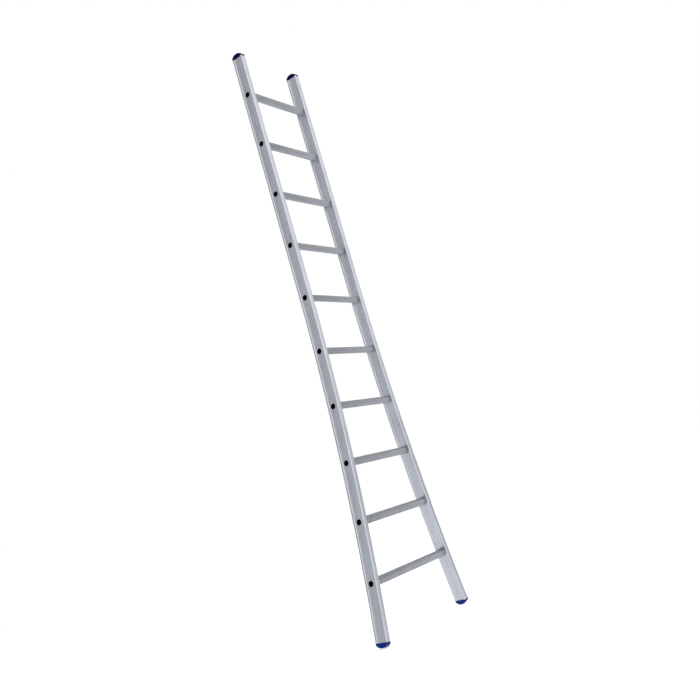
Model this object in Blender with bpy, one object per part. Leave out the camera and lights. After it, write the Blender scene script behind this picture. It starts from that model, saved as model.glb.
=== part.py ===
"""A single-section leaning ladder with ten ribbed rungs and a flared base.

The ladder stands upright along +Z, with its rungs along X and the climber's side at -Y.
The origin is on the ground, midway between the two feet. All sizes are in metres.
"""

import math

import bmesh
import bpy
from mathutils import Matrix, Vector

# Driving dimensions
RUNG_COUNT = 10
RUNG_PITCH = 0.250
TOP_WIDTH = 0.425  # over the outer faces of the straight upper half
BELOW_FIRST_RUNG = 0.230  # stile metal below the lowest rung's centre
ABOVE_LAST_RUNG = 0.1905  # stile metal above the highest rung's centre
FLARE_RADIUS = 8.7  # the lower half of each stile bends outwards on this arc
FLARE_ANGLE = math.radians(10.15)  # lean of the stile where it meets its foot

STILE_WIDTH = 0.027  # along X
STILE_DEPTH = 0.058  # along Y
STILE_WALL = 0.0018
STILE_CORNER = 0.0030
BAND_DEPTH = 0.0385  # recessed band along the middle of each wide face
BAND_RECESS = 0.0024
BAND_SLOPE = 0.0012  # the band's edges slope over this width

RUNG_SIZE = 0.0285
RUNG_WALL = 0.0015
RUNG_CORNER = 0.0045
TREAD_TILT = math.radians(21.5)  # the treads are level when the ladder leans this far
COLLAR_SWELL = 0.0016  # the rung is swaged out on both sides of the stile's inner wall
COLLAR_LENGTH = 0.0042
ACCESS_HOLE_DIAMETER = 0.0255  # in the stile's outer wall, in line with each rung

CAP_OVERHANG = 0.0006  # the cap stands this far proud of the stile all round
CAP_RIM = 0.0070  # cap thickness over the stile's narrow faces
CAP_HEIGHT = 0.0205  # cap thickness at the crown
CAP_EDGE = 0.0026  # rounding along the crown's edges
CAP_STUB = 0.030  # length of the hollow stub inside the stile
CAP_STUB_WALL = 0.0020

PLUG_INSET = 0.0050  # the plug's face lies this far inside the rung's end
PLUG_LENGTH = 0.0120
PLUG_WALL = 0.0018

GAP = 0.0003  # clearance between touching pieces
CORNER_STEPS = 2

# Derived sizes
CAP_HALF_WIDTH = STILE_WIDTH / 2 + CAP_OVERHANG
CAP_HALF_DEPTH = STILE_DEPTH / 2 + CAP_OVERHANG
CROWN_HALF_WIDTH = CAP_HALF_WIDTH - CAP_EDGE
FOOT_END_Z = CAP_HEIGHT * math.cos(FLARE_ANGLE) + CROWN_HALF_WIDTH * math.sin(FLARE_ANGLE)
FLARE_START_Z = FOOT_END_Z + FLARE_RADIUS * math.sin(FLARE_ANGLE)
FIRST_RUNG_Z = FOOT_END_Z + BELOW_FIRST_RUNG
TOP_END_Z = FIRST_RUNG_Z + (RUNG_COUNT - 1) * RUNG_PITCH + ABOVE_LAST_RUNG
UPPER_STILE_X = TOP_WIDTH / 2 - STILE_WIDTH / 2  # stile centreline over the straight half

SIDES = (("left", -1), ("right", 1))


def clear_scene():
    for item in list(bpy.data.objects):
        bpy.data.objects.remove(item, do_unlink=True)


def make_material(name, colour, metallic, roughness):
    material = bpy.data.materials.new(name)
    material.use_nodes = True
    shader = material.node_tree.nodes["Principled BSDF"]
    shader.inputs["Base Color"].default_value = (*colour, 1)
    shader.inputs["Metallic"].default_value = metallic
    shader.inputs["Roughness"].default_value = roughness
    return material


def station(height):
    """(x, z, lean) of the stile's centreline at this height, on the arc or above it."""
    lean = math.asin(max(0.0, FLARE_START_Z - height) / FLARE_RADIUS)
    return UPPER_STILE_X + FLARE_RADIUS * (1 - math.cos(lean)), height, lean


def stile_path():
    """Stations from the foot to the top, two to a rung pitch, with each rung between two of them."""
    path = [station(FOOT_END_Z)]
    height = FIRST_RUNG_Z - RUNG_PITCH / 4
    while path[-1][2] > 0:
        path.append(station(height))
        height += RUNG_PITCH / 2
    path.append(station(TOP_END_Z))
    return path


def stile_at(height):
    """(x, lean) of the stile's straight stretch between the two stations round this height."""
    path = stile_path()
    for (low_x, low_z, _), (high_x, high_z, _) in zip(path, path[1:]):
        if low_z <= height <= high_z:
            share = (height - low_z) / (high_z - low_z)
            return low_x + (high_x - low_x) * share, math.atan2(low_x - high_x, high_z - low_z)
    raise ValueError(f"no stile at {height}")


def rounded_rectangle(half_a, half_b, radius, steps=CORNER_STEPS):
    """Counter-clockwise outline of a rectangle with round corners, centred on the origin."""
    points = []
    for quarter, (sign_a, sign_b) in enumerate(((1, 1), (-1, 1), (-1, -1), (1, -1))):
        for step in range(steps + 1):
            angle = math.pi / 2 * (quarter + step / steps)
            points.append(
                (
                    sign_a * (half_a - radius) + radius * math.cos(angle),
                    sign_b * (half_b - radius) + radius * math.sin(angle),
                )
            )
    return points


def stile_outline():
    """Cross-section of the stile, (across, depth), with a shallow band in both wide faces."""
    outline = rounded_rectangle(STILE_WIDTH / 2, STILE_DEPTH / 2, STILE_CORNER)
    per_corner = CORNER_STEPS + 1
    edge = BAND_DEPTH / 2
    floor = edge - BAND_SLOPE
    face = STILE_WIDTH / 2
    low = face - BAND_RECESS
    left_band = [(-face, edge), (-low, floor), (-low, -floor), (-face, -edge)]
    right_band = [(face, -edge), (low, -floor), (low, floor), (face, edge)]
    return outline[: 2 * per_corner] + left_band + outline[2 * per_corner :] + right_band


def loops_to_object(name, loops, material, closed_ring=False):
    """Skins a list of equal point loops. The ends get flat caps, or join to each other."""
    mesh = bmesh.new()
    rings = [[mesh.verts.new(point) for point in loop] for loop in loops]
    pairs = list(zip(rings, rings[1:]))
    if closed_ring:
        pairs.append((rings[-1], rings[0]))
    for lower, upper in pairs:
        for index in range(len(lower)):
            after = (index + 1) % len(lower)
            mesh.faces.new((lower[index], lower[after], upper[after], upper[index]))
    if not closed_ring:
        mesh.faces.new(list(reversed(rings[0])))
        mesh.faces.new(rings[-1])
    bmesh.ops.recalc_face_normals(mesh, faces=mesh.faces)
    data = bpy.data.meshes.new(name)
    mesh.to_mesh(data)
    mesh.free()
    data.materials.append(material)
    data.shade_smooth()
    data.set_sharp_from_angle(angle=math.radians(35))
    item = bpy.data.objects.new(name, data)
    bpy.context.collection.objects.link(item)
    return item


def make_cutter(name, loops_of_bodies):
    """One hidden object that holds several separate closed bodies for a Boolean."""
    mesh = bmesh.new()
    for loops in loops_of_bodies:
        rings = [[mesh.verts.new(point) for point in loop] for loop in loops]
        for index in range(len(rings[0])):
            after = (index + 1) % len(rings[0])
            mesh.faces.new((rings[0][index], rings[0][after], rings[1][after], rings[1][index]))
        mesh.faces.new(list(reversed(rings[0])))
        mesh.faces.new(rings[1])
    bmesh.ops.recalc_face_normals(mesh, faces=mesh.faces)
    data = bpy.data.meshes.new(name)
    mesh.to_mesh(data)
    mesh.free()
    cutter = bpy.data.objects.new(name, data)
    bpy.context.collection.objects.link(cutter)
    cutter.hide_render = True
    cutter.display_type = "WIRE"
    return cutter


def rung_height(number):
    return FIRST_RUNG_Z + (number - 1) * RUNG_PITCH


def tilted_square(size, radius, steps=CORNER_STEPS):
    """Rung cross-section as (depth, height) points, turned so that its top is the tread."""
    turn = Matrix.Rotation(TREAD_TILT, 2)
    outline = rounded_rectangle(size / 2, size / 2, radius, steps)
    return [tuple(turn @ Vector(point)) for point in outline]


def across(side, x, slope, height, outline):
    """A rung loop in a plane that leans with the stile, on one side of the ladder."""
    return [Vector((side * (x - slope * up), deep, height + up)) for deep, up in outline]


def make_stile(name, side, material):
    loops = [
        [
            Vector((side * (x + wide * math.cos(lean)), deep, z + wide * math.sin(lean)))
            for wide, deep in stile_outline()
        ]
        for x, z, lean in stile_path()
    ]
    stile = skin_open_tube(name, loops, material)
    wall = stile.modifiers.new("wall", "SOLIDIFY")
    wall.thickness = STILE_WALL
    wall.offset = -1
    wall.use_even_offset = True
    bodies = []
    for number in range(1, RUNG_COUNT + 1):
        height = rung_height(number)
        centre, _ = stile_at(height)
        slot = tilted_square(RUNG_SIZE + 2 * GAP, RUNG_CORNER + GAP)
        hole = rounded_rectangle(
            ACCESS_HOLE_DIAMETER / 2, ACCESS_HOLE_DIAMETER / 2, ACCESS_HOLE_DIAMETER / 2 - 1e-5, 4
        )
        inward = (centre - STILE_WIDTH, centre - STILE_WIDTH / 8)
        outward = (centre + STILE_WIDTH / 8, centre + STILE_WIDTH)
        bodies.append([across(side, x, 0, height, slot) for x in inward])
        bodies.append([across(side, x, 0, height, hole) for x in outward])
    cut = stile.modifiers.new("rung slots and access holes", "BOOLEAN")
    cut.operation = "DIFFERENCE"
    cut.solver = "EXACT"
    cut.object = make_cutter(f"{name}_cutter", bodies)
    return stile


def skin_open_tube(name, loops, material):
    """A thin-walled tube's outer skin, open at both ends, with its faces pointing out."""
    mesh = bmesh.new()
    rings = [[mesh.verts.new(point) for point in loop] for loop in loops]
    for lower, upper in zip(rings, rings[1:]):
        for index in range(len(lower)):
            after = (index + 1) % len(lower)
            mesh.faces.new((lower[index], lower[after], upper[after], upper[index]))
    bmesh.ops.recalc_face_normals(mesh, faces=mesh.faces)
    data = bpy.data.meshes.new(name)
    mesh.to_mesh(data)
    mesh.free()
    data.materials.append(material)
    data.shade_smooth()
    data.set_sharp_from_angle(angle=math.radians(35))
    item = bpy.data.objects.new(name, data)
    bpy.context.collection.objects.link(item)
    return item


def make_rung(number, material):
    """A square tube with round corners, swaged on both sides of each stile's inner wall."""
    height = rung_height(number)
    centre, lean = stile_at(height)
    slope = math.tan(lean)
    outer_wall = centre + (STILE_WIDTH / 2 - STILE_WALL - BAND_RECESS) / math.cos(lean)
    inner_face = centre - (STILE_WIDTH / 2 - BAND_RECESS) / math.cos(lean)
    inner_back = inner_face + STILE_WALL / math.cos(lean)
    plain = tilted_square(RUNG_SIZE, RUNG_CORNER)
    band_room = BAND_DEPTH / 2 - BAND_SLOPE - GAP
    swollen = [
        (max(-band_room, min(band_room, deep)), up)
        for deep, up in tilted_square(RUNG_SIZE + 2 * COLLAR_SWELL, RUNG_CORNER + COLLAR_SWELL)
    ]
    bore = tilted_square(RUNG_SIZE - 2 * RUNG_WALL, RUNG_CORNER - RUNG_WALL)
    end = outer_wall - 2 * GAP
    stations = (
        (end, plain),
        (inner_back + COLLAR_LENGTH, plain),
        (inner_back + GAP, swollen),
        (inner_back + GAP, plain),
        (inner_face - GAP, plain),
        (inner_face - GAP, swollen),
        (inner_face - COLLAR_LENGTH, plain),
    )
    right = [across(1, x, slope, height, outline) for x, outline in stations]
    left = [across(-1, x, slope, height, outline) for x, outline in reversed(stations)]
    inside = [across(-1, end, slope, height, bore), across(1, end, slope, height, bore)]
    return loops_to_object(f"rung_{number:02d}", right + left + inside, material, closed_ring=True)


def make_plug(side_name, side, number, material):
    """A short cup pushed into the rung's end, open towards the middle of the rung."""
    height = rung_height(number)
    centre, lean = stile_at(height)
    slope = math.tan(lean)
    outer_wall = centre + (STILE_WIDTH / 2 - STILE_WALL - BAND_RECESS) / math.cos(lean)
    face = outer_wall - 2 * GAP - PLUG_INSET
    size = RUNG_SIZE - 2 * RUNG_WALL - 2 * GAP
    radius = RUNG_CORNER - RUNG_WALL - GAP
    outside = tilted_square(size, radius, 1)
    inside = tilted_square(size - 2 * PLUG_WALL, radius / 2, 1)
    loops = [
        across(side, face, slope, height, outside),
        across(side, face - PLUG_LENGTH, slope, height, outside),
        across(side, face - PLUG_LENGTH, slope, height, inside),
        across(side, face - PLUG_WALL, slope, height, inside),
    ]
    return loops_to_object(f"rung_plug_{side_name}_{number:02d}", loops, material)


def cap_outline(half_width, half_depth, radius):
    """Cap outline with extra points down its long sides, so that the crown can arch."""
    corners = rounded_rectangle(half_width, half_depth, radius)
    per_corner = CORNER_STEPS + 1
    straight = half_depth - radius
    levels = [straight * share for share in (0.72, 0.38, 0.0, -0.38, -0.72)]
    left_side = [(-half_width, level) for level in levels]
    right_side = [(half_width, -level) for level in levels]
    return corners[: 2 * per_corner] + left_side + corners[2 * per_corner :] + right_side


def arch(deep):
    """Height of the cap's crown over its seat: a circular arc from narrow face to narrow face."""
    rise = CAP_HEIGHT - CAP_RIM
    radius = (CAP_HALF_DEPTH**2 + rise**2) / (2 * rise)
    return CAP_RIM + math.sqrt(radius**2 - deep**2) - (radius - rise)


def make_cap_mesh(name, material):
    """An end cap that points along +Z: a crowned head over the stile and a hollow stub in it."""
    seat = cap_outline(CAP_HALF_WIDTH, CAP_HALF_DEPTH, STILE_CORNER + CAP_OVERHANG)
    stub_half_width = STILE_WIDTH / 2 - STILE_WALL - BAND_RECESS - 2 * GAP
    stub_half_depth = STILE_DEPTH / 2 - STILE_WALL - 2 * GAP
    stub = cap_outline(stub_half_width, stub_half_depth, STILE_CORNER - STILE_WALL)
    cavity = cap_outline(
        stub_half_width - CAP_STUB_WALL, stub_half_depth - CAP_STUB_WALL, STILE_CORNER / 4
    )
    crown_scale = CROWN_HALF_WIDTH / CAP_HALF_WIDTH
    crown_depth = (CAP_HALF_DEPTH - CAP_EDGE) / CAP_HALF_DEPTH
    crown = [(wide * crown_scale, deep * crown_depth) for wide, deep in seat]
    loops = [
        [(wide, deep, GAP) for wide, deep in cavity],
        [(wide, deep, -CAP_STUB) for wide, deep in cavity],
        [(wide, deep, -CAP_STUB) for wide, deep in stub],
        [(wide, deep, GAP) for wide, deep in stub],
        [(wide, deep, GAP) for wide, deep in seat],
        [(wide, deep, max(arch(deep) - CAP_EDGE, CAP_EDGE / 2)) for wide, deep in seat],
        [(wide, deep, arch(deep)) for wide, deep in crown],
    ]
    return loops_to_object(name, loops, material)


def place_cap(item, side, angle, x, z):
    """Seats a cap on the stile's end; the angle turns it about Y."""
    item.rotation_euler = (0, side * angle, 0)
    item.location = (side * x, 0, z)


def build():
    clear_scene()
    rail_metal = make_material("drawn_aluminium", (0.62, 0.63, 0.66), 1.0, 0.38)
    rung_metal = make_material("ribbed_aluminium", (0.56, 0.57, 0.60), 1.0, 0.42)
    blue_plastic = make_material("blue_plastic", (0.012, 0.035, 0.19), 0.0, 0.42)
    black_plastic = make_material("black_plastic", (0.008, 0.008, 0.009), 0.0, 0.55)

    ladder = bpy.data.objects.new("ladder", None)
    bpy.context.collection.objects.link(ladder)

    foot_x, foot_z, foot_lean = station(FOOT_END_Z)
    pieces = []
    for side_name, side in SIDES:
        pieces.append(make_stile(f"{side_name}_stile", side, rail_metal))
        top_cap = make_cap_mesh(f"{side_name}_top_cap", blue_plastic)
        place_cap(top_cap, side, 0.0, UPPER_STILE_X, TOP_END_Z)
        foot = make_cap_mesh(f"{side_name}_foot", blue_plastic)
        place_cap(foot, side, math.pi - foot_lean, foot_x, foot_z)
        pieces += [top_cap, foot]
        for number in range(1, RUNG_COUNT + 1):
            pieces.append(make_plug(side_name, side, number, black_plastic))
    for number in range(1, RUNG_COUNT + 1):
        pieces.append(make_rung(number, rung_metal))
    for piece in pieces:
        piece.parent = ladder


build()
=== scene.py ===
"""A single-section leaning ladder in drawn aluminium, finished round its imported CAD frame.

All sizes are in metres. The ladder stands upright, with its rungs along X, the climber's side at -Y
and +Z up. The stiles run straight at the top and flare outwards on one long arc at the bottom.
"""

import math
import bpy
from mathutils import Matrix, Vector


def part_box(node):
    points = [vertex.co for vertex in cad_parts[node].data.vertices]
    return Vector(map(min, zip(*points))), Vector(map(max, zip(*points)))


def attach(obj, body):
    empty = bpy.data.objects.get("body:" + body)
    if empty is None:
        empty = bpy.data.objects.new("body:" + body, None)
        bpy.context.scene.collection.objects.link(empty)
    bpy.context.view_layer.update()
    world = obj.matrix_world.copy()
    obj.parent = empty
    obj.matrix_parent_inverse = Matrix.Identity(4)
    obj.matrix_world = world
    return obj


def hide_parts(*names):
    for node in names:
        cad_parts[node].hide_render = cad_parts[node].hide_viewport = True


bl_info = {
    "name": "Leaning Ladder",
    "version": (1, 0, 0),
    "blender": (4, 5, 0),
    "location": "3D View > Sidebar > Ladder",
    "description": "Builds a ten-rung leaning ladder: extruded stiles, swaged rungs, moulded end caps",
    "category": "Object",
}

import bmesh
import bpy
from mathutils import Matrix, Vector

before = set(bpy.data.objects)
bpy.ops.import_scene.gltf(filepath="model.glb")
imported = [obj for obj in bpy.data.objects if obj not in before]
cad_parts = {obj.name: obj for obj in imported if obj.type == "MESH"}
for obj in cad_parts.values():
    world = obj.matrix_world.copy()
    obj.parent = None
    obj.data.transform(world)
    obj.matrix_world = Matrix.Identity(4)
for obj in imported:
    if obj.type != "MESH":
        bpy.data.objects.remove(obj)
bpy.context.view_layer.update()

STILE_LOW, STILE_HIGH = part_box("right_stile")
CAP_LOW, CAP_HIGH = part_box("right_top_cap")
RUNG_NODES = sorted(
    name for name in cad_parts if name.startswith("rung_") and "plug" not in name
)
RUNG_HEIGHTS = [sum(corner.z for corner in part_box(name)) / 2 for name in RUNG_NODES]
UPPER_X = (CAP_LOW.x + CAP_HIGH.x) / 2  # stile centreline over the straight stretch
RUNG_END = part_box(RUNG_NODES[-1])[1].x  # where the rungs of the straight stretch end
CLEARANCE = 0.0003  # between touching pieces
NEAR = 1e-5  # places closer than this count as the same


# ---------------------------------------------------------------- settings


def length(name, description, default):
    return bpy.props.FloatProperty(
        name=name, description=description, default=default, min=0, unit="LENGTH", precision=4
    )


def turn(name, description, degrees):
    return bpy.props.FloatProperty(
        name=name, description=description, default=math.radians(degrees), subtype="ANGLE"
    )


def share(name, description, default):
    return bpy.props.FloatProperty(
        name=name, description=description, default=default, min=0, max=1, subtype="FACTOR"
    )


def colour(name, description, default):
    return bpy.props.FloatVectorProperty(
        name=name, description=description, default=default, size=3, min=0, max=1, subtype="COLOR"
    )


class LadderStileSettings(bpy.types.PropertyGroup):
    width: length("Width", "Stile size across the ladder", 0.027)
    depth: length("Depth", "Stile size from front to back", round(STILE_HIGH.y - STILE_LOW.y, 5))
    wall: length("Wall", "Thickness of the extruded wall", 0.0018)
    corner: length("Corner", "Outer radius of the round corners", 0.003)
    band: length("Band", "Depth of the recessed band on each wide face", 0.0385)
    recess: length("Recess", "How deep the band lies under the beads beside it", 0.0024)
    slope: length("Slope", "Width of the slope at each edge of the band", 0.0012)
    flare_radius: length("Flare radius", "Radius of the arc that the lower half follows", 8.7)
    flare_angle: turn("Flare angle", "Lean of the stile where it meets its foot", 10.15)
    hole: length("Hole", "Diameter of the access hole in line with each rung", 0.0255)
    metal: colour("Metal", "Colour of the drawn aluminium", (0.572, 0.602, 0.658))
    roughness: share("Roughness", "Roughness of the drawn surface", 0.30)


class LadderRungSettings(bpy.types.PropertyGroup):
    size: length("Size", "Width of the square tube", 0.0285)
    wall: length("Wall", "Thickness of the tube's wall", 0.0015)
    corner: length("Corner", "Outer radius of the tube's corners", 0.0045)
    tilt: turn("Tread tilt", "Turn that makes the treads level when the ladder leans", 21.5)
    swell: length("Swell", "How far the swaged collar stands out", 0.0016)
    collar: length("Collar", "Length of the swaged collar", 0.0042)
    groove: length("Groove", "Depth of the grooves between the ribs", 0.0008)
    metal: colour("Metal", "Colour of the ribbed aluminium", (0.338, 0.354, 0.38))
    roughness: share("Roughness", "Roughness of the ribbed surface", 0.42)


class LadderCapSettings(bpy.types.PropertyGroup):
    overhang: length("Overhang", "How far the cap stands proud of the stile", 0.00055)
    rim: length("Rim", "Cap thickness over the stile's narrow faces", 0.0070)
    height: length("Height", "Cap thickness at the middle of its crown", 0.02045)
    edge: length("Edge", "Radius of the crown's long edges", 0.0026)
    stub: length("Stub", "Length of the stub inside the stile", 0.030)
    stub_wall: length("Stub wall", "Thickness of the stub's wall", 0.002)
    # Painted light and shade: the top caps and the feet are one blue plastic. The top caps get a darker
    # blue as painted shade, and the feet a brighter blue as painted light.
    top_painted_shade_blue: colour("Top blue painted shade", "Colour of the top caps", (0.0012, 0.0010, 0.034))
    foot_painted_light_blue: colour("Foot blue painted light", "Colour of the feet", (0.0010, 0.0160, 0.135))
    roughness: share("Roughness", "Roughness of the moulded surface", 0.45)


class LadderPlugSettings(bpy.types.PropertyGroup):
    inset: length("Inset", "How far the plug lies inside the rung's end", 0.0050)
    depth: length("Depth", "Length of the plug", 0.0120)
    wall: length("Wall", "Thickness of the plug's skirt", 0.0018)
    black: colour("Black", "Colour of the plugs", (0.0010, 0.0010, 0.0012))
    roughness: share("Roughness", "Roughness of the moulded surface", 0.6)


class LadderStageSettings(bpy.types.PropertyGroup):
    eye: bpy.props.FloatVectorProperty(
        name="Eye", description="Camera position", default=(-3.1852, -2.1604, 0.5983), subtype="XYZ"
    )
    aim: bpy.props.FloatVectorProperty(
        name="Aim",
        description="Point that the camera looks at",
        default=(0.0196, 0, 1.2529),
        subtype="XYZ",
    )
    roll: turn("Roll", "Turn of the camera about its own line of sight", -16.1)
    lens: bpy.props.FloatProperty(
        name="Lens", description="Focal length in millimetres", default=43.91, subtype="DISTANCE_CAMERA"
    )
    floor: length("Floor", "Width of the pale floor", 30)
    paper: colour("Paper", "Colour of the floor", (0.92, 0.92, 0.92))


# ---------------------------------------------------------------- modelling


def start_block(name, centre, size):
    """A block at its size and place, its object at the origin, ready for work in edit mode."""
    bpy.ops.object.select_all(action="DESELECT")
    bpy.ops.mesh.primitive_cube_add(size=1, location=centre, scale=size)
    bpy.ops.object.transform_apply(location=True, rotation=True, scale=True)
    block = bpy.context.object
    block.name = block.data.name = name
    bpy.ops.object.mode_set(mode="EDIT")
    return block


def pick(piece, kind, test):
    """Selects only the vertices, edges or faces that pass the test."""
    bpy.ops.mesh.select_mode(type=kind)
    bpy.ops.mesh.select_all(action="DESELECT")
    mesh = bmesh.from_edit_mesh(piece.data)
    for item in {"VERT": mesh.verts, "EDGE": mesh.edges, "FACE": mesh.faces}[kind]:
        if test(item):
            item.select_set(True)
    mesh.select_flush_mode()
    bmesh.update_edit_mesh(piece.data)


def runs_along(edge, axis):
    """True for an edge that runs along this axis, 0 to 2."""
    step = edge.verts[1].co - edge.verts[0].co
    return abs(step[axis]) > 0.999 * step.length


def faces(axis, sign):
    """A test for faces that look along an axis."""
    return lambda face: face.normal[axis] * sign > 0.99


def slice_at(axis, value):
    """Cuts the whole piece's faces along a plane square to an axis."""
    bpy.ops.mesh.select_all(action="SELECT")
    point = Vector((0, 0, 0))
    point[axis] = value
    normal = Vector((0, 0, 0))
    normal[axis] = 1
    bpy.ops.mesh.bisect(plane_co=point, plane_no=normal)


def round_edges(radius, steps):
    """Rounds the selected edges."""
    bpy.ops.mesh.bevel(
        offset=radius, offset_type="OFFSET", segments=steps, affect="EDGES", clamp_overlap=False
    )


def extrude_face(move):
    """Draws the selected face out by a move and leaves the new face selected."""
    bpy.ops.mesh.extrude_region_move(TRANSFORM_OT_translate={"value": move})


def scale_about(scale, centre=(0, 0, 0)):
    """Scales what is selected about a point."""
    bpy.ops.transform.resize(value=scale, center_override=centre)


def make_active(piece):
    """Leaves edit mode, with only this piece selected."""
    if bpy.context.mode != "OBJECT":
        bpy.ops.object.mode_set(mode="OBJECT")
    bpy.ops.object.select_all(action="DESELECT")
    piece.select_set(True)
    bpy.context.view_layer.objects.active = piece


def apply_modifier(piece, kind, **settings):
    """Adds a modifier with these settings and applies it."""
    make_active(piece)
    modifier = piece.modifiers.new(kind.lower(), kind)
    for key, value in settings.items():
        setattr(modifier, key, value)
    bpy.ops.object.modifier_apply(modifier=modifier.name)


def cut_away(piece, cutter):
    """Takes the cutter out of the piece and removes the cutter."""
    apply_modifier(piece, "BOOLEAN", operation="DIFFERENCE", solver="EXACT", object=cutter)
    bpy.data.objects.remove(cutter, do_unlink=True)


def copy_piece(piece, name, place=None):
    """A copy with its own mesh, moved in its mesh when a place is given."""
    copy = piece.copy()
    copy.data = piece.data.copy()
    copy.name = copy.data.name = name
    bpy.context.collection.objects.link(copy)
    if place is not None:
        copy.data.transform(place)
    return copy


def mirror_copy(piece, name):
    """The same piece on the other side of the ladder, with its faces still pointing out."""
    copy = copy_piece(piece, name, Matrix.Scale(-1, 4, (1, 0, 0)))
    copy.data.flip_normals()
    return copy


def join_into(first, others):
    """Makes the other pieces part of the first."""
    make_active(first)
    for other in others:
        other.select_set(True)
    bpy.ops.object.join()
    return first


def soften(piece, degrees=32):
    """Shades the piece smooth, but keeps edges sharper than this as edges."""
    make_active(piece)
    bpy.ops.object.shade_smooth_by_angle(angle=math.radians(degrees))


def write_grain(piece, grain_of):
    """Stores (across, across, along) places, which the metal's die lines follow round the flare."""
    attribute = piece.data.attributes.new("grain", "FLOAT_VECTOR", "POINT")
    for vertex, value in zip(piece.data.vertices, attribute.data):
        value.vector = grain_of(vertex.co)


def hand_over(piece, node, material):
    """Gives the piece its finish and lets it stand for its CAD node."""
    piece.data.materials.clear()
    piece.data.materials.append(material)
    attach(piece, "root")
    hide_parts(node)


# ---------------------------------------------------------------- where the stiles are


def foot_end(stile):
    """Height of the stile's centreline where it meets its foot."""
    return STILE_LOW.z + stile.width / 2 * math.sin(stile.flare_angle)


def flare_start(stile):
    """Height at which the straight stretch ends and the flare begins."""
    return foot_end(stile) + stile.flare_radius * math.sin(stile.flare_angle)


def station(stile, height):
    """(x, lean) of the right stile's centreline at this height."""
    lean = math.asin(max(0.0, flare_start(stile) - height) / stile.flare_radius)
    return UPPER_X + stile.flare_radius * (1 - math.cos(lean)), lean


def along_stile(stile, point):
    """(across, depth, along) of a point in the right stile, as if the stile were straight."""
    drop = flare_start(stile) - point.z
    if drop <= 0:
        return (point.x - UPPER_X, point.y, -drop)
    reach = UPPER_X + stile.flare_radius - point.x
    return (
        stile.flare_radius - math.hypot(reach, drop),
        point.y,
        -stile.flare_radius * math.atan2(drop, reach),
    )


def wall_floor(stile):
    """Distance from the stile's centreline to the floor of its recessed band."""
    return stile.width / 2 - stile.recess


# ---------------------------------------------------------------- finishes


class Nodes:
    """Adds nodes to a material or a world and links them."""

    MIX_SOCKETS = (0, 6, 7)  # a colour mix's share, first and second inputs
    MIX_RESULT = 2

    def __init__(self, owner):
        owner.use_nodes = True
        self.tree = owner.node_tree

    def add(self, kind, settings=None, **inputs):
        """A new node with its settings, and its inputs fed by name."""
        node = self.tree.nodes.new(kind)
        for key, value in (settings or {}).items():
            setattr(node, key, value)
        for key, value in inputs.items():
            self.feed(node.inputs[key.replace("_", " ")], value)
        return node

    def feed(self, socket, value):
        """Links a socket to another one's output, or sets it to a plain value."""
        if isinstance(value, bpy.types.NodeSocket):
            self.tree.links.new(value, socket)
        else:
            socket.default_value = value

    def ramp(self, value, low, high, low_at=0.0, high_at=1.0):
        """Turns a 0 to 1 value into a colour between low and high."""
        node = self.add("ShaderNodeValToRGB", Fac=value)
        for element, place, shade in zip(node.color_ramp.elements, (low_at, high_at), (low, high)):
            element.position = place
            element.color = (*shade, 1)
        return node.outputs["Color"]

    def span(self, value, low, high):
        """Moves a 0 to 1 value to between low and high."""
        return self.add("ShaderNodeMapRange", Value=value, To_Min=low, To_Max=high).outputs["Result"]

    def mix(self, share, first, second, blend_type="MIX"):
        """Blends two colours by a 0 to 1 share of the second."""
        node = self.add("ShaderNodeMix", {"data_type": "RGBA", "blend_type": blend_type})
        for socket, value in zip(self.MIX_SOCKETS, (share, first, second)):
            self.feed(node.inputs[socket], value)
        return node.outputs[self.MIX_RESULT]

    def curve(self, cosine, stops):
        """Brightness against a cosine from -1 to 1, eased between the stops."""
        spread = self.add("ShaderNodeMapRange", Value=cosine, From_Min=-1).outputs["Result"]
        node = self.add("ShaderNodeValToRGB", Fac=spread)
        ramp = node.color_ramp
        ramp.interpolation = "EASE"
        while len(ramp.elements) < len(stops):
            ramp.elements.new(0.5)
        for element, (place, value) in zip(ramp.elements, stops):
            element.position = (place + 1) / 2
            element.color = (value, value, value, 1)
        return node.outputs["Color"]


class Finish(Nodes):
    """A material's nodes, which end in its shader."""

    def __init__(self, name):
        self.material = bpy.data.materials.new(name)
        super().__init__(self.material)
        self.shader = self.tree.nodes["Principled BSDF"]

    def shade(self, **inputs):
        """Feeds the shader's inputs by name."""
        for key, value in inputs.items():
            self.feed(self.shader.inputs[key.replace("_", " ")], value)


def shaded(base, factor):
    """The colour made lighter or darker."""
    return tuple(min(1.0, channel * factor) for channel in base)


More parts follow.
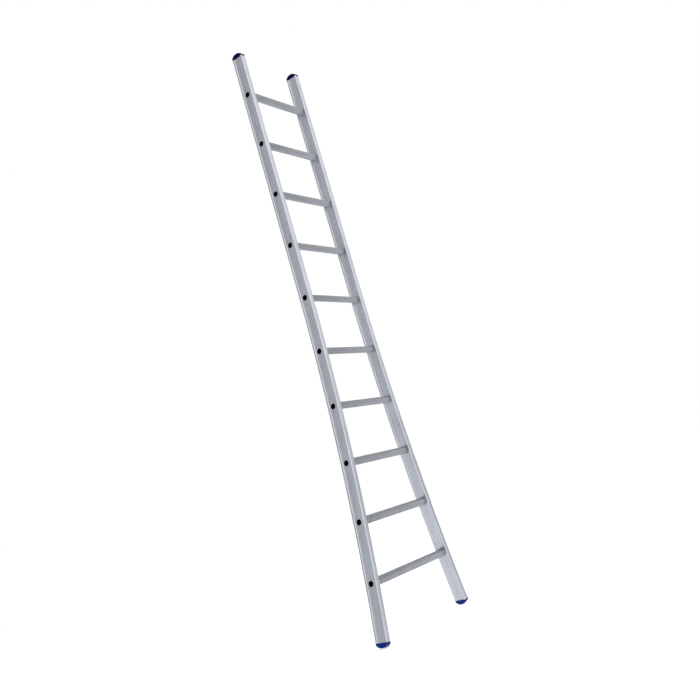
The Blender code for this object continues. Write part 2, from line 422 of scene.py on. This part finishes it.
def drawn_metal(name, base, roughness, scuff_shade):
    """Mill-finish aluminium: lengthwise die lines, patches of bloom, dull scuffs and small dents."""
    finish = Finish(name)
    grain = finish.add("ShaderNodeAttribute", {"attribute_name": "grain"}).outputs["Vector"]

    def noise(across, along, detail):
        """Noise with so many waves to the metre across and along the piece."""
        spread = finish.add("ShaderNodeMapping", Vector=grain, Scale=(across, across, along))
        vector = spread.outputs["Vector"]
        pattern = finish.add(
            "ShaderNodeTexNoise", Vector=vector, Scale=1.0, Detail=detail, Roughness=0.6
        )
        return pattern.outputs["Fac"]

    die_lines = noise(across=900, along=1.2, detail=3)
    streaks = noise(across=140, along=1.5, detail=4)
    bloom = noise(across=16, along=7, detail=5)
    scuffs = noise(across=60, along=45, detail=6)
    white = (1.0, 1.0, 1.0)
    streak_grey = (0.90, 0.905, 0.92)
    scuff_grey = shaded(white, 1 - scuff_shade)
    tint = finish.ramp(bloom, shaded(base, 0.90), shaded(base, 1.05), low_at=0.30, high_at=0.72)
    streak_tint = finish.ramp(streaks, streak_grey, white, low_at=0.28, high_at=0.62)
    scuff_tint = finish.ramp(scuffs, scuff_grey, white, low_at=0.30, high_at=0.48)
    streaked = finish.mix(1.0, tint, streak_tint, "MULTIPLY")
    worn = finish.mix(1.0, streaked, scuff_tint, "MULTIPLY")
    dull = finish.add("ShaderNodeMath", {"operation": "MULTIPLY"})
    finish.feed(dull.inputs[0], streaks)
    finish.feed(dull.inputs[1], scuffs)
    fine = finish.add("ShaderNodeBump", Height=die_lines, Distance=0.00006, Strength=0.5)
    dents = finish.add(
        "ShaderNodeBump", Height=bloom, Distance=0.0004, Strength=0.25, Normal=fine.outputs["Normal"]
    )
    finish.shade(
        Base_Color=worn,
        Metallic=1.0,
        Roughness=finish.span(dull.outputs["Value"], roughness - 0.10, roughness + 0.34),
        Normal=dents.outputs["Normal"],
    )
    return finish.material


def moulded_plastic(name, base, roughness, rub_and_sheen, shine):
    """Injection-moulded plastic: spark-eroded texture, slight flow marks, and paler spots that are
    partly rubbed wear and partly painted sheen.
    """
    finish = Finish(name)
    place = finish.add("ShaderNodeTexCoord").outputs["Object"]

    def noise(scale, detail):
        return finish.add("ShaderNodeTexNoise", Vector=place, Scale=scale, Detail=detail).outputs["Fac"]

    flow = noise(45.0, 4.0)
    erosion = noise(1500.0, 3.0)
    rub_and_sheen_noise = noise(160.0, 6.0)
    tint = finish.ramp(flow, shaded(base, 0.85), shaded(base, 1.2), low_at=0.3, high_at=0.7)
    mid_grey = 0.5
    # Paler spots are partly rubbed wear and partly painted sheen: the base is drawn towards mid grey
    # where the noise peaks.
    rub_and_sheen_pale = tuple(channel + (mid_grey - channel) * rub_and_sheen for channel in base)
    rub_and_sheen_share = finish.span(rub_and_sheen_noise, -1.6, 1.5)  # below nought for all but the noise's upper half
    bump = finish.add("ShaderNodeBump", Height=erosion, Distance=0.00008, Strength=0.5)
    finish.shade(
        Base_Color=finish.mix(rub_and_sheen_share, tint, (*rub_and_sheen_pale, 1)),
        Roughness=finish.span(flow, roughness - 0.08, roughness + 0.10),
        Specular_IOR_Level=shine,
        Normal=bump.outputs["Normal"],
    )
    return finish.material


def paper_white(base):
    """The seamless paper floor: matt, faintly mottled and lit through enough to read as pale."""
    finish = Finish("pale_paper")
    place = finish.add("ShaderNodeTexCoord").outputs["Object"]
    mottle = finish.add("ShaderNodeTexNoise", Vector=place, Scale=3.0, Detail=5.0).outputs["Fac"]
    finish.shade(
        Base_Color=finish.ramp(mottle, shaded(base, 0.985), base),
        Roughness=1.0,
        Specular_IOR_Level=0.0,
        Emission_Color=(1, 1, 1, 1),
        Emission_Strength=0.45,
    )
    return finish.material


# ---------------------------------------------------------------- pieces


class LADDER_OT_stiles(bpy.types.Operator):
    """Build both stiles: hollow, with recessed bands, slots for the rungs and access holes"""

    bl_idname = "ladder.stiles"
    bl_label = "Stiles"

    def execute(self, context):
        stile = context.scene.ladder_stile
        rung = context.scene.ladder_rung
        right = self.draw_profile(stile)
        self.flare(right, stile)
        apply_modifier(right, "SOLIDIFY", thickness=stile.wall, offset=-1, use_even_offset=True)
        self.cut_openings(right, stile, rung)
        write_grain(right, lambda point: along_stile(stile, point))
        left = mirror_copy(right, "left_stile_extrusion")
        metal = drawn_metal("stile_drawn_aluminium", stile.metal, stile.roughness, scuff_shade=0.03)
        for piece, node in ((left, "left_stile"), (right, "right_stile")):
            soften(piece)
            hand_over(piece, node, metal)
        return {"FINISHED"}

    def draw_profile(self, stile):
        """The straight upper stretch as an open skin with round corners and two recessed bands."""
        low, high = flare_start(stile), STILE_HIGH.z
        size = (stile.width, stile.depth, high - low)
        skin = start_block("right_stile_extrusion", (UPPER_X, 0, (low + high) / 2), size)
        pick(skin, "EDGE", lambda edge: runs_along(edge, 2))
        round_edges(stile.corner, steps=6)
        pick(skin, "FACE", lambda face: abs(face.normal.z) > 0.99)
        bpy.ops.mesh.delete(type="ONLY_FACE")
        edge = stile.band / 2
        floor = edge - stile.slope
        for value in (-edge, -floor, floor, edge):
            slice_at(1, value)
        flat = stile.width / 2 - NEAR
        pick(skin, "VERT", lambda v: abs(v.co.y) < floor + NEAR and abs(v.co.x - UPPER_X) > flat)
        narrower = 1 - 2 * stile.recess / stile.width
        scale_about((narrower, 1, 1), (UPPER_X, 0, 0))

        def ends_slope(line):
            deep = abs(line.verts[0].co.y)
            return runs_along(line, 2) and min(abs(deep - edge), abs(deep - floor)) < NEAR

        pick(skin, "EDGE", ends_slope)
        bead_radius = 0.00045
        round_edges(bead_radius, steps=2)
        return skin

    def flare(self, skin, stile):
        """Spins the lower end outwards on the flare's arc."""
        low = flare_start(stile)
        pick(skin, "EDGE", lambda e: max(v.co.z for v in e.verts) < low + NEAR)
        bpy.ops.mesh.spin(
            steps=30,
            angle=stile.flare_angle,
            center=(UPPER_X + stile.flare_radius, 0, low),
            axis=(0, 1, 0),
        )
        bpy.ops.mesh.select_all(action="SELECT")
        bpy.ops.mesh.remove_doubles(threshold=NEAR / 10)
        bpy.ops.mesh.normals_make_consistent(inside=False)

    def cut_openings(self, right, stile, rung):
        """A slot through the inner wall and a chamfered hole through the outer wall at each rung."""
        size = rung.size + 2 * CLEARANCE
        reach_in = stile.width * 0.8  # through the inner wall, and clear of the outer one
        slot = start_block("slot_cutter", (0, 0, 0), (reach_in, size, size))
        pick(slot, "EDGE", lambda edge: runs_along(edge, 0))
        round_edges(rung.corner + CLEARANCE, steps=4)
        bpy.ops.object.mode_set(mode="OBJECT")
        hole = self.hole_cutter(stile)
        cutters = []
        for height in RUNG_HEIGHTS:
            x, lean = station(stile, height)
            reach = wall_floor(stile) / math.cos(lean)
            through = Matrix.Translation((x - reach, 0, height)) @ Matrix.Rotation(rung.tilt, 4, "X")
            square_on = Matrix.Translation((x + reach, 0, height)) @ Matrix.Rotation(-lean, 4, "Y")
            cutters.append(copy_piece(slot, "slot_cutter", through))
            cutters.append(copy_piece(hole, "hole_cutter", square_on))
        bpy.data.objects.remove(slot)
        bpy.data.objects.remove(hole)
        cut_away(right, join_into(cutters[0], cutters[1:]))

    def hole_cutter(self, stile):
        """A round cutter along X whose outer end widens, so that it leaves a small chamfer."""
        chamfer = 0.0005
        deep = stile.width / 3
        clear_of_beads = 0.004
        bpy.ops.object.select_all(action="DESELECT")
        bpy.ops.mesh.primitive_cylinder_add(
            vertices=48,
            radius=stile.hole / 2,
            depth=deep,
            location=(-deep / 2 - chamfer, 0, 0),
            rotation=(0, math.pi / 2, 0),
        )
        bpy.ops.object.transform_apply(location=True, rotation=True, scale=True)
        cutter = bpy.context.object
        bpy.ops.object.mode_set(mode="EDIT")
        pick(cutter, "FACE", faces(0, 1))
        extrude_face((2 * chamfer, 0, 0))
        wider = 1 + 4 * chamfer / stile.hole
        scale_about((1, wider, wider))
        extrude_face((clear_of_beads, 0, 0))
        bpy.ops.object.mode_set(mode="OBJECT")
        return cutter


class LADDER_OT_rungs(bpy.types.Operator):
    """Build the ribbed square rungs with a swaged collar on both sides of each stile wall"""

    bl_idname = "ladder.rungs"
    bl_label = "Rungs"

    def execute(self, context):
        stile = context.scene.ladder_stile
        rung = context.scene.ladder_rung
        master = self.draw_tube(stile, rung)
        metal = drawn_metal("rung_ribbed_aluminium", rung.metal, rung.roughness, scuff_shade=0.10)
        grain_step = 0.83  # moves the pattern along from rung to rung, so that no two match
        for number, (node, height) in enumerate(zip(RUNG_NODES, RUNG_HEIGHTS), 1):
            piece = copy_piece(master, f"{node}_tube", Matrix.Translation((0, 0, height)))
            x, lean = station(stile, height)
            reach_ends(piece, x - UPPER_X, math.tan(lean), height, UPPER_X - stile.width)
            untilt = Matrix.Rotation(-rung.tilt, 3, "X")

            def grain_of(point):
                local = untilt @ (point - Vector((0, 0, height)))
                return (local.y, local.z, point.x + grain_step * number)

            write_grain(piece, grain_of)
            soften(piece)
            hand_over(piece, node, metal)
        bpy.data.objects.remove(master)
        return {"FINISHED"}

    def draw_tube(self, stile, rung):
        """A rung for the straight stretch, centred on the origin."""
        tube = start_block("rung_master", (0, 0, 0), (2 * RUNG_END, rung.size, rung.size))
        pick(tube, "EDGE", lambda edge: runs_along(edge, 0))
        round_edges(rung.corner, steps=5)
        tread_grooves = (-0.008, -0.004, 0, 0.004, 0.008)
        front_grooves = (-0.0068, 0.0068)
        self.groove(tube, rung, 1, tread_grooves, half_width=0.0009)
        self.groove(tube, rung, 2, front_grooves, half_width=0.0020)
        wall_face = UPPER_X - wall_floor(stile)
        self.swage(tube, rung, wall_face - CLEARANCE, -1)
        self.swage(tube, rung, wall_face + stile.wall + CLEARANCE, 1)
        room = stile.band / 2 - stile.slope - CLEARANCE  # a collar stays on the band's floor
        bpy.ops.object.mode_set(mode="OBJECT")
        tube.data.transform(Matrix.Rotation(rung.tilt, 4, "X"))
        for vertex in tube.data.vertices:
            vertex.co.y = max(-room, min(room, vertex.co.y))
        self.bore(tube, rung)
        return tube

    def groove(self, tube, rung, axis, centres, half_width):
        """V grooves along the rung, spaced out on one axis, in the two faces square to the other."""
        half = rung.size / 2
        other = 3 - axis
        for centre in centres:
            for value in (centre - half_width, centre, centre + half_width):
                slice_at(axis, value)

            def at_bottom(vertex):
                on_line = abs(vertex.co[axis] - centre) < NEAR
                return on_line and abs(vertex.co[other]) > half - NEAR

            pick(tube, "VERT", at_bottom)
            squeeze = [1, 1, 1]
            squeeze[other] = 1 - rung.groove / half
            scale_about(squeeze)

    def swage(self, tube, rung, start, way):
        """Swells the tube next to a wall face and lets the swell fade along the collar's length."""
        profile = (  # shares of the collar's length and of its swell
            (-0.02, 0.0),
            (0.0, 0.94),
            (0.16, 1.0),
            (0.38, 0.86),
            (0.60, 0.52),
            (0.80, 0.18),
            (1.0, 0.0),
        )
        for side in (-1, 1):
            for distance, _ in profile:
                slice_at(0, side * (start + way * distance * rung.collar))
        for distance, rise in profile:
            x = start + way * distance * rung.collar
            pick(tube, "VERT", lambda v: abs(abs(v.co.x) - x) < NEAR)
            wider = 1 + 2 * rise * rung.swell / rung.size
            scale_about((1, wider, wider))

    def bore(self, tube, rung):
        """Hollows the tube out."""
        size = rung.size - 2 * rung.wall
        overrun = 0.01
        core = start_block("bore_cutter", (0, 0, 0), (2 * (RUNG_END + overrun), size, size))
        pick(core, "EDGE", lambda edge: runs_along(edge, 0))
        round_edges(rung.corner - rung.wall, steps=3)
        bpy.ops.object.mode_set(mode="OBJECT")
        core.data.transform(Matrix.Rotation(rung.tilt, 4, "X"))
        cut_away(tube, core)


def reach_ends(piece, shift, slope, height, from_x):
    """Moves a rung's ends out to the stiles there, each end leaning with its stile."""
    for vertex in piece.data.vertices:
        if abs(vertex.co.x) > from_x:
            side = math.copysign(1, vertex.co.x)
            vertex.co.x += side * (shift - slope * (vertex.co.z - height))


class LADDER_OT_caps(bpy.types.Operator):
    """Build the two top caps and the two feet, each a crowned head on a hollow stub"""

    bl_idname = "ladder.caps"
    bl_label = "Caps and feet"

    def execute(self, context):
        stile = context.scene.ladder_stile
        cap = context.scene.ladder_cap
        master = self.draw_cap(stile, cap)
        # One blue plastic in two tints. The top caps get the darker blue as painted shade. The feet get
        # the brighter blue, with more of the pale spots, as painted light.
        top_painted_shade_plastic = moulded_plastic(
            "top_cap_painted_shade_blue_plastic", cap.top_painted_shade_blue, cap.roughness, rub_and_sheen=0.01, shine=0.03
        )
        foot_painted_light_plastic = moulded_plastic(
            "foot_painted_light_blue_plastic", cap.foot_painted_light_blue, cap.roughness, rub_and_sheen=0.04, shine=0.08
        )
        foot_z = foot_end(stile)
        foot_x, lean = station(stile, foot_z)
        upright = Matrix.Translation((UPPER_X, 0, STILE_HIGH.z))
        turned = Matrix.Translation((foot_x, 0, foot_z)) @ Matrix.Rotation(math.pi - lean, 4, "Y")
        for part, place, plastic in (("top_cap", upright, top_painted_shade_plastic), ("foot", turned, foot_painted_light_plastic)):
            right = copy_piece(master, f"right_{part}_moulding", place)
            left = mirror_copy(right, f"left_{part}_moulding")
            hand_over(right, f"right_{part}", plastic)
            hand_over(left, f"left_{part}", plastic)
        bpy.data.objects.remove(master)
        return {"FINISHED"}

    def draw_cap(self, stile, cap):
        """A cap that points up from the stile's end at the origin."""
        half_width = stile.width / 2 + cap.overhang
        half_depth = stile.depth / 2 + cap.overhang
        skirt = cap.rim * 0.78  # height of the upright side below the crown
        centre = (0, 0, (skirt + CLEARANCE) / 2)
        block = start_block("cap_master", centre, (2 * half_width, 2 * half_depth, skirt - CLEARANCE))
        pick(block, "EDGE", lambda edge: runs_along(edge, 2))
        round_edges(stile.corner + cap.overhang, steps=7)
        self.crown(block, cap, half_width, half_depth, skirt)
        self.stub(block, stile, cap, half_width, half_depth)
        bpy.ops.object.mode_set(mode="OBJECT")
        soften(block, 40)
        return block

    def crown(self, block, cap, half_width, half_depth, skirt):
        """Raises the head in steps that follow an arch along the depth and round its long edges."""
        rise = cap.height - cap.rim
        radius = (half_depth**2 + rise**2) / (2 * rise)
        widest = math.asin(half_depth / radius)
        steps = 16
        flat = 0.65  # of a step, at the crown's middle
        ledge = 0.0006  # of the small step where the crown starts
        level = skirt
        at_width, at_depth = half_width, half_depth
        pick(block, "FACE", faces(2, 1))
        for step in range(steps):
            angle = widest * (1 - step / (steps - 1 + flat))
            next_level = cap.height - radius * (1 - math.cos(angle))
            next_depth = radius * math.sin(angle)
            fall = max(0.0, next_level - (cap.height - cap.edge))
            next_width = half_width - cap.edge + math.sqrt(cap.edge**2 - fall**2)
            if step == 0:
                next_depth = half_depth - ledge
            extrude_face((0, 0, next_level - level))
            scale_about((next_width / at_width, next_depth / at_depth, 1), (0, 0, next_level))
            level, at_width, at_depth = next_level, next_width, next_depth

    def stub(self, block, stile, cap, seat_width, seat_depth):
        """Softens the seat's rim, then draws the hollow stub down from it. All widths are halves."""
        width = wall_floor(stile) - stile.wall - 2 * CLEARANCE
        depth = stile.depth / 2 - stile.wall - stile.recess - 2 * CLEARANCE
        softening, drop = 0.0004, 0.00015
        floor = 0.001  # left under the head
        outlines = (
            (seat_width - softening, seat_depth - softening, -drop),
            (width, depth, 0),
            (width, depth, -cap.stub),
            (width - cap.stub_wall, depth - cap.stub_wall, 0),
            (width - cap.stub_wall, depth - cap.stub_wall, cap.stub - floor),
        )
        pick(block, "FACE", faces(2, -1))
        at_width, at_depth = seat_width, seat_depth
        for next_width, next_depth, move in outlines:
            extrude_face((0, 0, move))
            scale_about((next_width / at_width, next_depth / at_depth, 1))
            at_width, at_depth = next_width, next_depth


class LADDER_OT_plugs(bpy.types.Operator):
    """Build the black plugs that close the rung ends behind the access holes"""

    bl_idname = "ladder.plugs"
    bl_label = "Rung plugs"

    def execute(self, context):
        stile = context.scene.ladder_stile
        rung = context.scene.ladder_rung
        plug = context.scene.ladder_plug
        master = self.draw_plug(rung, plug, RUNG_END - plug.inset)
        # The plugs get only a trace of the pale spots, which are partly rubbed wear and partly painted
        # sheen.
        plastic = moulded_plastic(
            "plug_black_plastic", plug.black, plug.roughness, rub_and_sheen=0.005, shine=0.01
        )
        for number, height in enumerate(RUNG_HEIGHTS, 1):
            x, lean = station(stile, height)
            at_height = Matrix.Translation((0, 0, height))
            right = copy_piece(master, f"right_plug_{number:02d}_cup", at_height)
            reach_ends(right, x - UPPER_X, math.tan(lean), height, 0)
            left = mirror_copy(right, f"left_plug_{number:02d}_cup")
            hand_over(right, f"rung_plug_right_{number:02d}", plastic)
            hand_over(left, f"rung_plug_left_{number:02d}", plastic)
        bpy.data.objects.remove(master)
        return {"FINISHED"}

    def draw_plug(self, rung, plug, face):
        """A cup whose closed end faces out along +X at this distance from the ladder's middle."""
        size = rung.size - 2 * rung.wall - 2 * CLEARANCE
        rim, lift = 0.0006, 0.0004
        border, dish = 0.0032, 0.0010
        cup = start_block("plug_master", (face - plug.depth / 2, 0, 0), (plug.depth, size, size))
        pick(cup, "EDGE", lambda edge: runs_along(edge, 0))
        round_edges(rung.corner - rung.wall - CLEARANCE, steps=4)
        pick(cup, "FACE", faces(0, 1))
        bpy.ops.mesh.inset(thickness=rim)
        pick(cup, "FACE", lambda item: item.normal.x > 0.99 and item.calc_area() > (0.7 * size) ** 2)
        extrude_face((lift, 0, 0))
        bpy.ops.mesh.inset(thickness=border)
        extrude_face((-dish, 0, 0))
        pick(cup, "FACE", faces(0, -1))
        bpy.ops.mesh.inset(thickness=plug.wall)
        extrude_face((plug.depth - plug.wall - rim, 0, 0))
        bpy.ops.object.mode_set(mode="OBJECT")
        cup.data.transform(Matrix.Rotation(rung.tilt, 4, "X"))
        soften(cup)
        return cup


# ---------------------------------------------------------------- stage


class LADDER_OT_stage(bpy.types.Operator):
    """Set out the pale paper floor, the soft light and the camera"""

    bl_idname = "ladder.stage"
    bl_label = "Stage"

    def execute(self, context):
        stage = context.scene.ladder_stage
        self.lay_floor(stage)
        self.light(context)
        self.aim_camera(context, stage)
        context.scene.view_settings.view_transform = "Standard"
        return {"FINISHED"}

    def lay_floor(self, stage):
        """A floor that the camera sees but the ladder neither mirrors nor shades."""
        bpy.ops.object.select_all(action="DESELECT")
        bpy.ops.mesh.primitive_plane_add(size=stage.floor)
        floor = bpy.context.object
        floor.name = floor.data.name = "paper_floor"
        floor.data.materials.append(paper_white(stage.paper))
        floor.visible_glossy = False
        floor.visible_diffuse = False
        floor.visible_shadow = False

    def light(self, context):
        """Soft light all round: bright from the climber's side, dim from the sides, pale from below."""
        world = bpy.data.worlds.new("soft_studio")
        context.scene.world = world
        nodes = Nodes(world)
        place = nodes.add("ShaderNodeTexCoord").outputs["Generated"]
        climber_side = Vector((-0.30, -0.95, 0.0)).normalized()
        toward = nodes.add("ShaderNodeVectorMath", {"operation": "DOT_PRODUCT"})
        nodes.feed(toward.inputs[0], place)
        nodes.feed(toward.inputs[1], climber_side)
        facing = toward.outputs["Value"]
        height = nodes.add("ShaderNodeSeparateXYZ", Vector=place).outputs["Z"]
        overhead = nodes.curve(
            facing,
            ((-1, 0.43), (-0.6, 0.35), (-0.28, 0.23), (0, 0.36), (0.25, 0.56), (0.7, 0.63), (1, 0.72)),
        )
        level = nodes.curve(
            facing,
            ((-1, 0.21), (-0.6, 0.26), (-0.28, 0.38), (0.1, 0.19), (0.3, 0.29), (0.55, 0.53), (1, 0.7)),
        )
        low = nodes.curve(facing, ((-1, 0.60), (-0.28, 0.45), (0.1, 0.46), (1, 0.58)))
        underfoot = nodes.curve(facing, ((-1, 0.85), (1, 0.80)))
        light = nodes.mix(nodes.curve(height, ((-0.75, 0), (-0.50, 1))), underfoot, low)
        light = nodes.mix(nodes.curve(height, ((-0.24, 0), (-0.04, 1))), light, level)
        light = nodes.mix(nodes.curve(height, ((0.0, 0), (0.20, 1))), light, overhead)
        soft = nodes.tree.nodes["Background"]
        soft.inputs["Strength"].default_value = 2.07
        nodes.feed(soft.inputs["Color"], light)
        backdrop = nodes.add("ShaderNodeBackground", Color=(1, 1, 1, 1))
        choose = nodes.add("ShaderNodeMixShader")
        nodes.feed(choose.inputs[0], nodes.add("ShaderNodeLightPath").outputs["Is Camera Ray"])
        nodes.feed(choose.inputs[1], soft.outputs["Background"])
        nodes.feed(choose.inputs[2], backdrop.outputs["Background"])
        nodes.feed(nodes.tree.nodes["World Output"].inputs["Surface"], choose.outputs["Shader"])

    def aim_camera(self, context, stage):
        """A camera at the eye that looks at the aim, rolled about its line of sight."""
        lens = bpy.data.cameras.new("camera")
        lens.lens = stage.lens
        lens.sensor_width = 36
        lens.clip_end = 100
        camera = bpy.data.objects.new("camera", lens)
        context.collection.objects.link(camera)
        eye, aim = Vector(stage.eye), Vector(stage.aim)
        level = (aim - eye).to_track_quat("-Z", "Y").to_matrix().to_4x4()
        camera.matrix_world = Matrix.Translation(eye) @ level @ Matrix.Rotation(stage.roll, 4, "Z")
        context.scene.camera = camera


# ---------------------------------------------------------------- panel and registration


class LADDER_PT_panel(bpy.types.Panel):
    """Sizes, finishes and build steps of the ladder"""

    bl_idname = "LADDER_PT_panel"
    bl_label = "Leaning Ladder"
    bl_space_type = "VIEW_3D"
    bl_region_type = "UI"
    bl_category = "Ladder"

    def draw(self, context):
        for operator, settings, _ in STEPS:
            box = self.layout.box()
            box.operator(operator.bl_idname)
            group = getattr(context.scene, settings)
            for name in group.bl_rna.properties.keys():
                if name not in ("rna_type", "name"):
                    box.prop(group, name)


STEPS = (
    (LADDER_OT_stiles, "ladder_stile", LadderStileSettings),
    (LADDER_OT_rungs, "ladder_rung", LadderRungSettings),
    (LADDER_OT_caps, "ladder_cap", LadderCapSettings),
    (LADDER_OT_plugs, "ladder_plug", LadderPlugSettings),
    (LADDER_OT_stage, "ladder_stage", LadderStageSettings),
)


def register():
    for operator, settings, group in STEPS:
        bpy.utils.register_class(group)
        setattr(bpy.types.Scene, settings, bpy.props.PointerProperty(type=group))
        bpy.utils.register_class(operator)
    bpy.utils.register_class(LADDER_PT_panel)


def unregister():
    bpy.utils.unregister_class(LADDER_PT_panel)
    for operator, settings, group in reversed(STEPS):
        bpy.utils.unregister_class(operator)
        delattr(bpy.types.Scene, settings)
        bpy.utils.unregister_class(group)


def main():
    register()
    bpy.ops.ladder.stiles()
    bpy.ops.ladder.rungs()
    bpy.ops.ladder.caps()
    bpy.ops.ladder.plugs()
    bpy.ops.ladder.stage()


if __name__ == "__main__":
    main()
